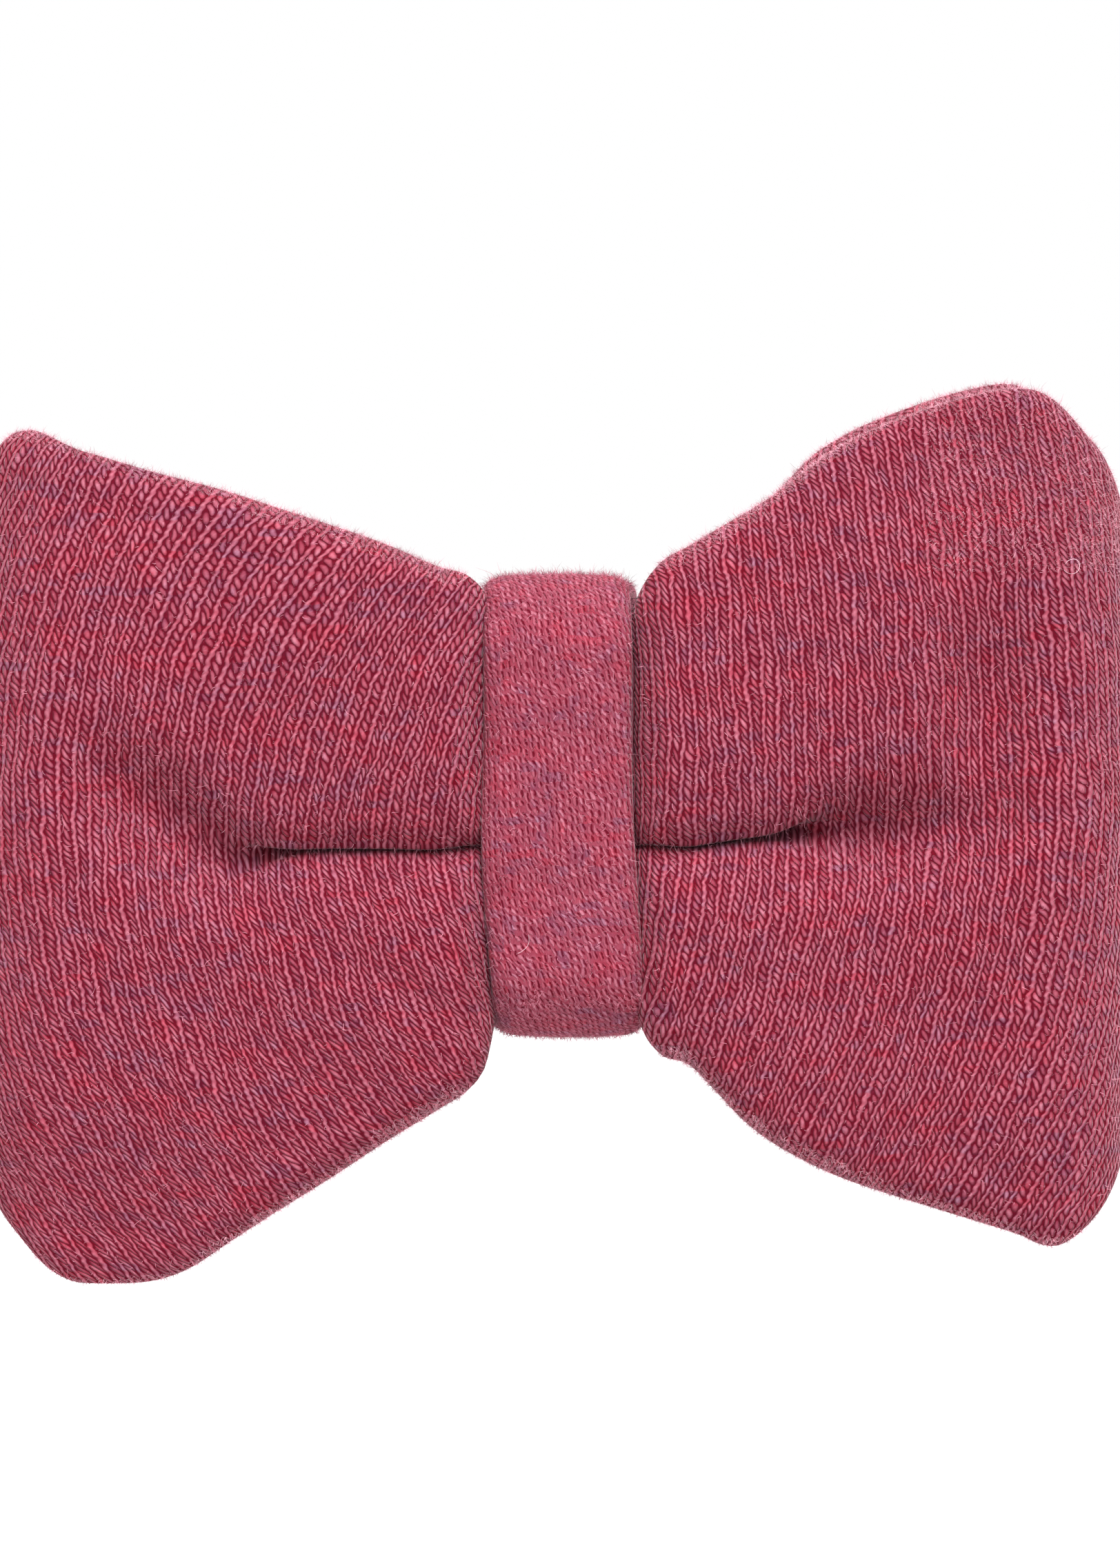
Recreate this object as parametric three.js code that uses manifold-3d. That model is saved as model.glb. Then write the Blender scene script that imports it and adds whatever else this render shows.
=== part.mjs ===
// A small clip-on bow tie of brushed jersey.
//
// One padded strip of jersey is looped into two wings, gathered at the waist with thread and wrapped
// by a knot band. The band also holds the base of a sprung clip, which grips a collar.
//
// Millimetres. +X runs to the right of someone who looks at the front, +Z is up, and the front faces -Y.
// The origin is the middle of the clip base's gripping face, where the collar holds the bow.

import * as THREE from 'three';
import { mergeVertices } from 'three/addons/utils/BufferGeometryUtils.js';
import Module from 'manifold-3d';

const wasm = await Module();
wasm.setup();

// ---- Driving dimensions -------------------------------------------------------------------------

const clearance = 0.3;

// Bow
const bowHeight = 65.3;
const wingReach = { left: 43, right: 41.3 };
const waistDepth = 12;
const wingDepth = 14.5;
const wingBackGap = 0.6;
const clothPly = 0.8;
const waddingThickness = 1.2;
const stripEndGap = 1.2;

// Pleat along the front of the wings
const pleatHeight = -3;
const pleatDepth = 4;
const pleatHalfWidth = 4;
const pleatRun = 24;
const lobeCrown = 1.2;
const pleatLipShare = 0.6;
const shoulderRun = 3;

// Knot band
const knotWidth = 11.4;
const knotHeight = 34;
const knotPly = 0.9;
const liningThickness = 1.2;
const knotFrontRadius = 6;
const knotBackRadius = 3.5;
const knotSeamGap = 1.2;
const knotSeamAboveCorner = 3.5;

// Threads
const gatherThread = 0.5;
const gatherTurns = 3;
const gatherPitch = 1.1;
const gatherRadius = 3.2;
const seamThread = 0.45;

// Clip
const clipLength = 43;
const clipTip = -21;
const clipWidth = 8;
const clipSheet = 0.7;
const clipCornerRadius = 2.5;
const hingeX = 12;
const pinRadius = 0.7;
const pinPlay = 0.08;
const pinHeadRadius = 1.2;
const pinHeadThickness = 0.4;
const earRadius = 1.7;
const tailRise = 4.6;
const toothCount = 5;
const toothDepth = 0.7;
const springWire = 0.5;
const springTurns = 3;
const springLeg = 6.5;

// Outline of each wing: share of its reach, then the upper and lower edge as shares of half the height.
const wingOutline = {
  left: [
    [0.21, 0.53, -0.67],
    [0.40, 0.63, -0.83],
    [0.58, 0.71, -0.99],
    [0.72, 0.76, -1.06],
    [0.84, 0.81, -1.06],
    [0.92, 0.83, -1.0],
    [0.97, 0.80, -0.90],
    [1.0, 0.70, -0.80],
  ],
  right: [
    [0.22, 0.58, -0.57],
    [0.32, 0.66, -0.70],
    [0.46, 0.78, -0.81],
    [0.61, 0.87, -0.88],
    [0.75, 0.93, -0.93],
    [0.85, 0.93, -0.98],
    [0.92, 0.88, -0.97],
    [0.97, 0.78, -0.91],
    [1.0, 0.67, -0.83],
  ],
};

// ---- Sizes that follow from them ----------------------------------------------------------------

const stripThickness = 2 * clothPly + waddingThickness + 2 * clearance;
const threadRoom = gatherThread + 2 * clearance;
const bandThickness = knotPly + clearance + liningThickness;

const waistBackY = -clipSheet - threadRoom;
const waistFrontY = waistBackY - waistDepth;
const waistHalfHeight = knotHeight / 2 - bandThickness - threadRoom;
const waistHalfWidth = knotWidth / 2 + clearance;

const wingBackY = -clipSheet - wingBackGap;
const wingFrontY = wingBackY - wingDepth;
const loopRadius = (wingDepth - stripThickness) / 2;

const knotFrontY = waistFrontY - threadRoom - bandThickness;
const knotBackY = clearance + bandThickness;
const knotSeamZ = knotBackRadius + knotSeamAboveCorner - knotHeight / 2;

const coilRadius = pinRadius + clearance + springWire / 2;
const hingeY = Math.max(earRadius, coilRadius + springWire / 2) + clearance + pinPlay;
const jawGap = knotBackY + clearance;
const leverCrest = Math.max(hingeY + coilRadius + springWire / 2 + clearance, jawGap);
const clipTail = clipTip + clipLength;
const leverHalfWidth = clipWidth / 2 - clipSheet - clearance;

// ---- Materials ----------------------------------------------------------------------------------

const jersey = new THREE.MeshStandardMaterial({ color: 0xa44b5e, roughness: 0.95, metalness: 0 });
const knotJersey = new THREE.MeshStandardMaterial({ color: 0xaf5366, roughness: 0.95, metalness: 0 });
const wadding = new THREE.MeshStandardMaterial({ color: 0xf1eeea, roughness: 1, metalness: 0 });
const thread = new THREE.MeshStandardMaterial({ color: 0x9c4456, roughness: 0.8, metalness: 0 });
const steel = new THREE.MeshStandardMaterial({ color: 0xc9c9c6, roughness: 0.3, metalness: 1 });
const springSteel = new THREE.MeshStandardMaterial({ color: 0x9b9ca0, roughness: 0.35, metalness: 1 });

// ---- Solids from rings of points ----------------------------------------------------------------

function signedVolume(points, faces) {
  let sum = 0;
  for (const [a, b, c] of faces) {
    sum += points[a].dot(points[b].clone().cross(points[c]));
  }
  return sum / 6;
}

function solidFromFaces(points, faces) {
  const outward = signedVolume(points, faces) > 0;
  const geometry = new THREE.BufferGeometry().setFromPoints(points);
  geometry.setIndex(faces.flatMap(([a, b, c]) => (outward ? [a, b, c] : [a, c, b])));
  return geometry;
}

// Two triangles for each side of a ring, from that ring to the next one.
function wallFaces(first, next, count) {
  const faces = [];
  for (let i = 0; i < count; i += 1) {
    const j = (i + 1) % count;
    faces.push([first + i, first + j, next + j], [first + i, next + j, next + i]);
  }
  return faces;
}

// The contour's triangles, all turning the way that the contour turns.
function contourTriangles(contour) {
  const turn = Math.sign(THREE.ShapeUtils.area(contour));
  return THREE.ShapeUtils.triangulateShape(contour, []).map(([a, b, c]) => {
    const own = Math.sign(THREE.ShapeUtils.area([contour[a], contour[b], contour[c]]));
    return own === turn ? [a, b, c] : [a, c, b];
  });
}

// A solid bar through the rings. The contour is the flat shape that every ring has.
function loftBar(rings, contour) {
  const count = contour.length;
  const last = (rings.length - 1) * count;
  const faces = [];
  for (let ring = 1; ring < rings.length; ring += 1) {
    faces.push(...wallFaces((ring - 1) * count, ring * count, count));
  }
  for (const [a, b, c] of contourTriangles(contour)) {
    faces.push([c, b, a], [last + a, last + b, last + c]);
  }
  return solidFromFaces(rings.flat(), faces);
}

// A tube with open ends: its outer rings, and as many inner rings.
function loftTube(outerRings, innerRings) {
  const count = outerRings[0].length;
  const inside = outerRings.length * count;
  const last = inside - count;
  const faces = [];
  for (let ring = 1; ring < outerRings.length; ring += 1) {
    const first = (ring - 1) * count;
    faces.push(...wallFaces(first, first + count, count));
    const inner = wallFaces(inside + first, inside + first + count, count);
    faces.push(...inner.map(([a, b, c]) => [a, c, b]));
  }
  for (let i = 0; i < count; i += 1) {
    const j = (i + 1) % count;
    faces.push([j, i, inside + i], [j, inside + i, inside + j]);
    faces.push([last + i, last + j, inside + last + j]);
    faces.push([last + i, inside + last + j, inside + last + i]);
  }
  return solidFromFaces([...outerRings.flat(), ...innerRings.flat()], faces);
}

// A round thread or wire along a curve, with six sides.
function cordAlong(curve, diameter, steps) {
  const section = new THREE.Shape();
  section.absarc(0, 0, diameter / 2, 0, 2 * Math.PI);
  const options = { steps, curveSegments: 3, bevelEnabled: false, extrudePath: curve };
  return new THREE.ExtrudeGeometry(section, options);
}

function smoothCurve(points) {
  return new THREE.CatmullRomCurve3(points, false, 'centripetal');
}

// The same points, with more between any two that are further apart than the spacing.
function filled(points, spacing) {
  const all = [points[0]];
  for (let i = 1; i < points.length; i += 1) {
    const pieces = Math.ceil(points[i].distanceTo(points[i - 1]) / spacing);
    for (let k = 1; k <= pieces; k += 1) {
      all.push(points[i - 1].clone().lerp(points[i], k / pieces));
    }
  }
  return all;
}

// ---- Joining and cutting ------------------------------------------------------------------------

function toSolid(geometry) {
  const bare = geometry.clone();
  bare.deleteAttribute('normal');
  bare.deleteAttribute('uv');
  const merged = mergeVertices(bare, 1e-5);
  const mesh = new wasm.Mesh({
    numProp: 3,
    vertProperties: new Float32Array(merged.attributes.position.array),
    triVerts: new Uint32Array(merged.index.array),
  });
  return new wasm.Manifold(mesh);
}

function toGeometry(solid) {
  const { vertProperties, triVerts } = solid.getMesh();
  const geometry = new THREE.BufferGeometry();
  geometry.setAttribute('position', new THREE.BufferAttribute(vertProperties, 3));
  geometry.setIndex(new THREE.BufferAttribute(triVerts, 1));
  return geometry;
}

function box(lowX, highX, lowY, highY, lowZ, highZ) {
  const geometry = new THREE.BoxGeometry(highX - lowX, highY - lowY, highZ - lowZ);
  return geometry.translate((lowX + highX) / 2, (lowY + highY) / 2, (lowZ + highZ) / 2);
}

// ---- Padded strip of the bow --------------------------------------------------------------------

// The upper and lower edge at each distance from the middle, for one wing.
function edgeCurve(side) {
  const half = bowHeight / 2;
  const reach = wingReach[side];
  const rows = [
    [0, waistHalfHeight, -waistHalfHeight],
    [waistHalfWidth, waistHalfHeight, -waistHalfHeight],
    ...wingOutline[side]
      .map(([share, top, bottom]) => [share * reach, top * half, bottom * half])
      .filter(([x]) => x > waistHalfWidth + clearance),
  ];
  const at = rows.map(([x]) => x);
  const edges = rows.flatMap(([, top, bottom]) => [top, bottom]);
  const curve = new THREE.LinearInterpolant(at, edges, 2);
  return (x) => {
    const [top, bottom] = curve.evaluate(Math.min(x, reach));
    return { top, bottom };
  };
}

// One wing's stations, from the front at the waist round the loop's end to the back at the waist.
// Each has a place in plan, the outward direction there, the strip's edges, and how full its lobes are.
function wingStations(side) {
  const sign = side === 'left' ? -1 : 1;
  const half = stripThickness / 2;
  const edges = edgeCurve(side);
  const bendX = wingReach[side] - half - loopRadius;
  const shoulderX = waistHalfWidth + shoulderRun;
  const straight = [waistHalfWidth, waistHalfWidth + shoulderRun / 3, shoulderX];
  const runs = 4;
  for (let i = 1; i <= runs; i += 1) {
    straight.push(shoulderX + (bendX - shoulderX) * i / runs);
  }
  const swell = (x) => THREE.MathUtils.smoothstep(x, waistHalfWidth, shoulderX);
  const flat = (x, out, waistY, wingY) => ({
    place: new THREE.Vector2(sign * x, THREE.MathUtils.lerp(waistY, wingY, swell(x)) - out * half),
    outward: new THREE.Vector2(0, out),
    fullness: out < 0 ? swell(x) : 0,
    pleat: out < 0 ? pleatDepth * Math.max(0, 1 - (x - waistHalfWidth) / pleatRun) : 0,
    ...edges(x),
  });
  const front = straight.map((x) => flat(x, -1, waistFrontY, wingFrontY));
  const back = straight.map((x) => flat(x, 1, waistBackY, wingBackY)).reverse();
  const bend = [];
  const bendSteps = 8;
  for (let i = 1; i < bendSteps; i += 1) {
    const angle = Math.PI * i / bendSteps;
    const outward = new THREE.Vector2(sign * Math.sin(angle), -Math.cos(angle));
    const middle = new THREE.Vector2(sign * bendX, (wingFrontY + wingBackY) / 2);
    bend.push({
      place: middle.addScaledVector(outward, loopRadius),
      outward,
      fullness: Math.max(0, Math.cos(angle)),
      pleat: 0,
      ...edges(bendX + (loopRadius + half) * Math.sin(angle)),
    });
  }
  return [...front, ...bend, ...back];
}

// The whole strip, from its end at the middle of the back round both wings to its other end.
function stripStations(endGap) {
  const edges = { top: waistHalfHeight, bottom: -waistHalfHeight };
  const endY = waistBackY - stripThickness / 2;
  const end = (x) => ({
    place: new THREE.Vector2(x, endY),
    outward: new THREE.Vector2(0, 1),
    fullness: 0,
    pleat: 0,
    ...edges,
  });
  const middle = {
    place: new THREE.Vector2(0, waistFrontY + stripThickness / 2),
    outward: new THREE.Vector2(0, -1),
    fullness: 0,
    pleat: pleatDepth,
    ...edges,
  };
  const right = wingStations('right').reverse();
  return [end(endGap / 2), ...right, middle, ...wingStations('left'), end(-endGap / 2)];
}

// The strip's section at a station, drawn a given distance inside its surface.
function stripRing({ place, outward, fullness, pleat, top, bottom }, inset) {
  const half = stripThickness / 2;
  const low = bottom + half;
  const high = top - half;
  const levels = [
    [low, 0],
    [(low + pleatHeight - pleatHalfWidth) / 2, lobeCrown * fullness],
    [pleatHeight - pleatHalfWidth, pleatLipShare * lobeCrown * fullness],
    [pleatHeight, -pleat],
    [pleatHeight + pleatHalfWidth, pleatLipShare * lobeCrown * fullness],
    [(high + pleatHeight + pleatHalfWidth) / 2, lobeCrown * fullness],
    [high, 0],
  ];
  const point = (z, out) => {
    const at = place.clone().addScaledVector(outward, out);
    return new THREE.Vector3(at.x, at.y, z);
  };
  const outer = levels.map(([z, out]) => point(z, out + half - inset));
  const inner = levels.map(([z, out]) => point(z, out - half + inset)).reverse();
  return [...outer, point(top - inset, 0), ...inner, point(bottom + inset, 0)];
}

function bowCover() {
  const stations = stripStations(stripEndGap);
  const outer = stations.map((station) => stripRing(station, 0));
  const inner = stations.map((station) => stripRing(station, clothPly));
  return loftTube(outer, inner);
}

function bowWadding() {
  const rings = stripStations(stripEndGap + 2 * clothPly)
    .map((station) => stripRing(station, clothPly + clearance));
  const contour = rings[0].map(({ y, z }) => new THREE.Vector2(y, z));
  return loftBar(rings, contour);
}

// Stitches that lace the strip's two ends together, inside the gap between them.
function bowSeamThread() {
  const middleY = waistBackY - stripThickness / 2;
  const swing = stripThickness / 2 - seamThread;
  const stitches = 12;
  const reach = waistHalfHeight - stripThickness;
  const points = [];
  for (let i = 0; i <= stitches; i += 1) {
    const side = i % 2 ? 1 : -1;
    points.push(new THREE.Vector3(0, middleY + side * swing, -reach + 2 * reach * i / stitches));
  }
  return cordAlong(smoothCurve(points), seamThread, 3 * stitches);
}

// ---- Round the waist ----------------------------------------------------------------------------

// Points and outward directions round a rectangle in the YZ plane, with a radius at its front corners
// and one at its back corners. It starts at the height startZ on the back face and runs downwards.
function roundedLoop({ front, back, halfHeight, frontRadius, backRadius, startZ, steps }) {
  const corners = [
    { y: back - backRadius, z: -halfHeight + backRadius, radius: backRadius, from: 0 },
    { y: front + frontRadius, z: -halfHeight + frontRadius, radius: frontRadius, from: -Math.PI / 2 },
    { y: front + frontRadius, z: halfHeight - frontRadius, radius: frontRadius, from: -Math.PI },
    { y: back - backRadius, z: halfHeight - backRadius, radius: backRadius, from: -1.5 * Math.PI },
  ];
  const loop = [{ y: back, z: startZ, outY: 1, outZ: 0 }];
  for (const { y, z, radius, from } of corners) {
    for (let i = 0; i <= steps; i += 1) {
      const angle = from - (Math.PI / 2) * i / steps;
      const outY = Math.cos(angle);
      const outZ = Math.sin(angle);
      loop.push({ y: y + radius * outY, z: z + radius * outZ, outY, outZ });
    }
  }
  return loop;
}

// A strip with a constant section, carried round the knot from one side of its seam to the other.
function bandSolid(contour, endGap) {
  const loop = roundedLoop({
    front: knotFrontY,
    back: knotBackY,
    halfHeight: knotHeight / 2,
    frontRadius: knotFrontRadius,
    backRadius: knotBackRadius,
    startZ: knotSeamZ - endGap / 2,
    steps: 5,
  });
  loop.push({ ...loop[0], z: knotSeamZ + endGap / 2 });
  const rings = loop.map(({ y, z, outY, outZ }) => contour.map(
    ({ x: across, y: out }) => new THREE.Vector3(across, y + out * outY, z + out * outZ),
  ));
  return loftBar(rings, contour);
}

// The band is folded in along both sides, so its section is a shallow channel.
function knotBand() {
  const half = knotWidth / 2;
  const lip = half - knotPly;
  return bandSolid([
    new THREE.Vector2(-half, 0),
    new THREE.Vector2(-half, -bandThickness),
    new THREE.Vector2(-lip, -bandThickness),
    new THREE.Vector2(-lip, -knotPly),
    new THREE.Vector2(lip, -knotPly),
    new THREE.Vector2(lip, -bandThickness),
    new THREE.Vector2(half, -bandThickness),
    new THREE.Vector2(half, 0),
  ], knotSeamGap);
}

function knotLining() {
  const half = knotWidth / 2 - knotPly - clearance;
  const top = -knotPly - clearance;
  return bandSolid([
    new THREE.Vector2(-half, top),
    new THREE.Vector2(-half, -bandThickness),
    new THREE.Vector2(half, -bandThickness),
    new THREE.Vector2(half, top),
  ], knotSeamGap + 2 * knotPly);
}

// Whip stitches over the band's seam.
function knotThread() {
  const stitches = 8;
  const reach = knotWidth / 2 - knotPly;
  const outY = knotBackY + clearance + seamThread / 2;
  const points = [];
  for (let i = 0; i <= stitches; i += 1) {
    const side = i % 2 ? 1 : -1;
    const x = -reach + 2 * reach * i / stitches;
    points.push(new THREE.Vector3(x, outY, knotSeamZ + side * knotSeamGap));
  }
  return cordAlong(smoothCurve(points), seamThread, 3 * stitches);
}

// The turns of thread that pull the waist in, under the band.
function gatherThreadWinding() {
  const out = clearance + gatherThread / 2;
  const loop = roundedLoop({
    front: waistFrontY - out,
    back: waistBackY + out,
    halfHeight: waistHalfHeight + out,
    frontRadius: gatherRadius,
    backRadius: gatherRadius,
    startZ: 0,
    steps: 4,
  });
  const points = [];
  const startX = -gatherPitch * gatherTurns / 2;
  for (let turn = 0; turn < gatherTurns; turn += 1) {
    loop.forEach(({ y, z }, i) => {
      points.push(new THREE.Vector3(startX + gatherPitch * (turn + i / loop.length), y, z));
    });
  }
  const dense = filled(points, 4 * gatherThread);
  return cordAlong(smoothCurve(dense), gatherThread, dense.length);
}

// ---- Clip ---------------------------------------------------------------------------------------

// A plate in the XY plane, extruded along Z between two heights.
function plate(shape, lowZ, highZ) {
  const options = { depth: highZ - lowZ, curveSegments: 12, bevelEnabled: false };
  return new THREE.ExtrudeGeometry(shape, options).translate(0, 0, lowZ);
}

// An ear round the pin, which runs straight to a given height on the strip that carries it.
function earShape(radius, footY) {
  const shape = new THREE.Shape();
  const rising = footY > hingeY;
  shape.moveTo(hingeX - radius, footY);
  shape.lineTo(hingeX - radius, hingeY);
  shape.absarc(hingeX, hingeY, radius, Math.PI, rising ? 2 * Math.PI : 0, !rising);
  shape.lineTo(hingeX + radius, footY);
  shape.closePath();
  const hole = new THREE.Path();
  hole.absarc(hingeX, hingeY, pinRadius + pinPlay, 0, 2 * Math.PI);
  shape.holes.push(hole);
  return shape;
}

function earPair(shape, innerZ) {
  return [
    toSolid(plate(shape, innerZ, innerZ + clipSheet)),
    toSolid(plate(shape, -innerZ - clipSheet, -innerZ)),
  ];
}

// The flat jaw, which lies against the back of the bow under the knot band.
function clipBase() {
  const half = clipWidth / 2;
  const strip = new THREE.Shape();
  strip.moveTo(clipTip, -half);
  strip.lineTo(clipTail - clipCornerRadius, -half);
  strip.absarc(clipTail - clipCornerRadius, -half + clipCornerRadius, clipCornerRadius, -Math.PI / 2, 0);
  strip.absarc(clipTail - clipCornerRadius, half - clipCornerRadius, clipCornerRadius, 0, Math.PI / 2);
  strip.lineTo(clipTip, half);
  strip.closePath();
  const stripSolid = toSolid(plate(strip, 0, clipSheet).rotateX(Math.PI / 2));
  const ears = earPair(earShape(earRadius, -clipSheet / 2), half - clipSheet);
  return toGeometry(ears.reduce((whole, ear) => whole.add(ear), stripSolid));
}

// The sprung jaw from the side: an arm over the band, a crest over the spring and a raised tail.
function leverSide() {
  const inner = [
    new THREE.Vector2(clipTip, jawGap),
    new THREE.Vector2(knotWidth / 2 + clearance, jawGap),
    new THREE.Vector2(hingeX - earRadius, leverCrest),
    new THREE.Vector2(hingeX + earRadius, leverCrest),
    new THREE.Vector2(clipTail, leverCrest + tailRise),
  ];
  const outer = inner.map((point, i) => {
    const before = inner[Math.max(i - 1, 0)];
    const after = inner[Math.min(i + 1, inner.length - 1)];
    const along = after.clone().sub(before).normalize();
    return new THREE.Vector2(point.x - along.y * clipSheet, point.y + along.x * clipSheet);
  });
  return new THREE.Shape([...inner, ...outer.reverse()]);
}

// The toothed lip at the lever's tip.
function leverTeeth() {
  const half = clipWidth / 2;
  const pitch = clipWidth / toothCount;
  const lip = new THREE.Shape();
  lip.moveTo(-half, jawGap + clipSheet / 2);
  for (let i = 0; i < toothCount; i += 1) {
    lip.lineTo(-half + i * pitch, clearance + toothDepth);
    lip.lineTo(-half + (i + 0.5) * pitch, clearance);
  }
  lip.lineTo(half, clearance + toothDepth);
  lip.lineTo(half, jawGap + clipSheet / 2);
  lip.closePath();
  return plate(lip, 0, clipSheet).rotateY(-Math.PI / 2).translate(clipTip + clipSheet, 0, 0);
}

function clipLever() {
  const half = clipWidth / 2;
  const notchX = hingeX - earRadius - 2 * clearance;
  const tallest = leverCrest + tailRise + 2 * clipSheet;
  let lever = toSolid(plate(leverSide(), -half, half));
  for (const side of [-1, 1]) {
    const [lowZ, highZ] = [side * leverHalfWidth, side * (half + 1)].sort((a, b) => a - b);
    lever = lever.subtract(toSolid(box(notchX, clipTail + 1, -1, tallest, lowZ, highZ)));
  }
  const ears = earPair(earShape(earRadius, leverCrest + clipSheet / 2), leverHalfWidth - clipSheet);
  return toGeometry([...ears, toSolid(leverTeeth())].reduce((whole, piece) => whole.add(piece), lever));
}

function clipPin() {
  const halfLength = clipWidth / 2 + clearance;
  const profile = [
    new THREE.Vector2(0, -halfLength - pinHeadThickness),
    new THREE.Vector2(pinHeadRadius, -halfLength - pinHeadThickness),
    new THREE.Vector2(pinHeadRadius, -halfLength),
    new THREE.Vector2(pinRadius, -halfLength),
    new THREE.Vector2(pinRadius, halfLength),
    new THREE.Vector2(pinHeadRadius, halfLength),
    new THREE.Vector2(pinHeadRadius, halfLength + pinHeadThickness),
    new THREE.Vector2(0, halfLength + pinHeadThickness),
  ];
  return new THREE.LatheGeometry(profile, 24).rotateX(Math.PI / 2).translate(hingeX, hingeY, 0);
}

// A coil round the pin, with one leg on the base and one under the lever's tail.
function clipSpring() {
  const width = 2 * (leverHalfWidth - clipSheet - clearance) - springWire;
  const turns = springTurns + 0.5;
  const stepsPerTurn = 12;
  const steps = turns * stepsPerTurn;
  const legX = hingeX + springLeg;
  const tailSlope = tailRise / (clipTail - hingeX - earRadius);
  const underTail = leverCrest + tailSlope * (legX - hingeX - earRadius);
  const footY = clearance + springWire / 2;
  const headY = underTail - (clearance + springWire / 2) * Math.hypot(1, tailSlope);
  const points = [new THREE.Vector3(legX, footY, -width / 2)];
  for (let i = 0; i <= steps; i += 1) {
    const angle = -Math.PI / 2 - 2 * Math.PI * i / stepsPerTurn;
    const x = hingeX + coilRadius * Math.cos(angle);
    const y = hingeY + coilRadius * Math.sin(angle);
    points.push(new THREE.Vector3(x, y, -width / 2 + width * i / steps));
  }
  points.push(new THREE.Vector3(hingeX + earRadius, hingeY + coilRadius, width / 2));
  points.push(new THREE.Vector3(legX, headY, width / 2));
  return cordAlong(smoothCurve(points), springWire, Math.round(1.5 * points.length));
}

// ---- Scene --------------------------------------------------------------------------------------

const pieces = [
  ['bow_cover', bowCover(), jersey],
  ['bow_wadding', bowWadding(), wadding],
  ['bow_seam_thread', bowSeamThread(), thread],
  ['gather_thread', gatherThreadWinding(), thread],
  ['knot_band', knotBand(), knotJersey],
  ['knot_lining', knotLining(), wadding],
  ['knot_thread', knotThread(), thread],
  ['clip_base', clipBase(), steel],
  ['clip_lever', clipLever(), steel],
  ['clip_pin', clipPin(), steel],
  ['clip_spring', clipSpring(), springSteel],
];

const bowTie = new THREE.Group();
for (const [name, geometry, material] of pieces) {
  const mesh = new THREE.Mesh(geometry, material);
  mesh.name = name;
  bowTie.add(mesh);
}

export default bowTie;
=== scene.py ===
"""Looks of a small clip-on bow tie of brushed melange jersey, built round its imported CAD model."""

import math

import bpy
import numpy as np
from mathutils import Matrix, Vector


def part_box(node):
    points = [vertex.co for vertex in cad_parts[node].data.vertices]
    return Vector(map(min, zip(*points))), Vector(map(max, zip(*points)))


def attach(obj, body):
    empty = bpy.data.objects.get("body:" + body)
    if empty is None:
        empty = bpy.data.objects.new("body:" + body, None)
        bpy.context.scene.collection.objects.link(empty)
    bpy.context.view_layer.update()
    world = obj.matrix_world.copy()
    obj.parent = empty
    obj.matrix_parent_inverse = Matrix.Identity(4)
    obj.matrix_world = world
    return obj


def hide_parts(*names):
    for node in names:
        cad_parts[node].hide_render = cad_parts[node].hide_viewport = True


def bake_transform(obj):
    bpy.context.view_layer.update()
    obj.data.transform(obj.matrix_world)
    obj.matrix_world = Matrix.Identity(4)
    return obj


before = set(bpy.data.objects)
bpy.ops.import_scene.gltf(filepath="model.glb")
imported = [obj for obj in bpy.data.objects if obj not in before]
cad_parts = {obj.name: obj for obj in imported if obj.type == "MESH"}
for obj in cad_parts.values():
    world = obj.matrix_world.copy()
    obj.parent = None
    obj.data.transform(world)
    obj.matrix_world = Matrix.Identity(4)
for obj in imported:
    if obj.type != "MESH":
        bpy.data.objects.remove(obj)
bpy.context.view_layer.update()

MM = 0.001
rng = np.random.default_rng(7)

# ---- Sizes in millimetres ------------------------------------------------------------------------

WALE, COURSE = 1.0, 0.55  # the width and height of a stitch on the wings
CORD, LEG, LEG_WIDTH, LEG_SLOPE = 0.16, 0.66, 0.285, 2.3  # of a stitch's legs, as shares of a wale
KNOT_WALE, KNOT_STROKE, KNOT_COURSE = 0.46, 0.66, 0.62
KNOT_LEAN = 7  # degrees
RELIEF, KNOT_RELIEF = 0.15, 0.07  # depth of the knit

band_low, band_high = (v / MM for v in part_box("knot_band"))
cover_low, cover_high = (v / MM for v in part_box("bow_cover"))
REACH = {-1: -cover_low.x, 1: cover_high.x}
BAND_HALF_HEIGHT = band_high.z
BAND_FRONT, BAND_BACK = -band_low.y, band_high.y
BAND_THICKNESS, BAND_FOLD, BAND_CROWN, BAND_SNUG = 2.2, 1.25, 0.28, 0.75
BAND_FRONT_RADIUS, BAND_BACK_RADIUS, BAND_BACK_HALF_WIDTH = 6.0, 3.5, 5.6
SEAM_HEIGHT, SEAM_GAP = -10.0, 0.5  # of the band's ends, behind the knot
STITCH_COUNT, STITCH_RUN, STITCH_LEAN, STITCH_HALF_HEIGHT = 9, 8.8, 0.55, 1.25
THREAD_RADIUS, WIRE_RADIUS, HAIR_RADIUS = 0.2, 0.25, 0.016
SPRING_TURNS, SPRING_STEPS = 3.5, 36
LOOP_RADIUS, LEAF, FOLD_HEIGHT = 5.4, 4.6, 3.4  # of the wings' ends and the strip's folded edges
STRIP_BACK = -cover_high.y  # the back leaf's outer face lies this far in front of the clip's face

# Distance from the middle, then how far in front of the clip's face the front leaf's outer face lies.
FRONT_FACE = [
    (0, 13.9),
    (4.5, 14.1),
    (4.9, 14.7),
    (5.3, 15.4),
    (5.8, 15.95),
    (6.7, 16.35),
    (9, 16.5),
    (14, 16.4),
    (24, 16.1),
    (33, 15.9),
    (43, 15.9),
]

# Distance from the middle, then the padded strip's thickness.
THICKNESS = [(0, 3.2), (5, 3.3), (8, 4.4), (14, 4.8), (43, 4.6)]

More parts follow.
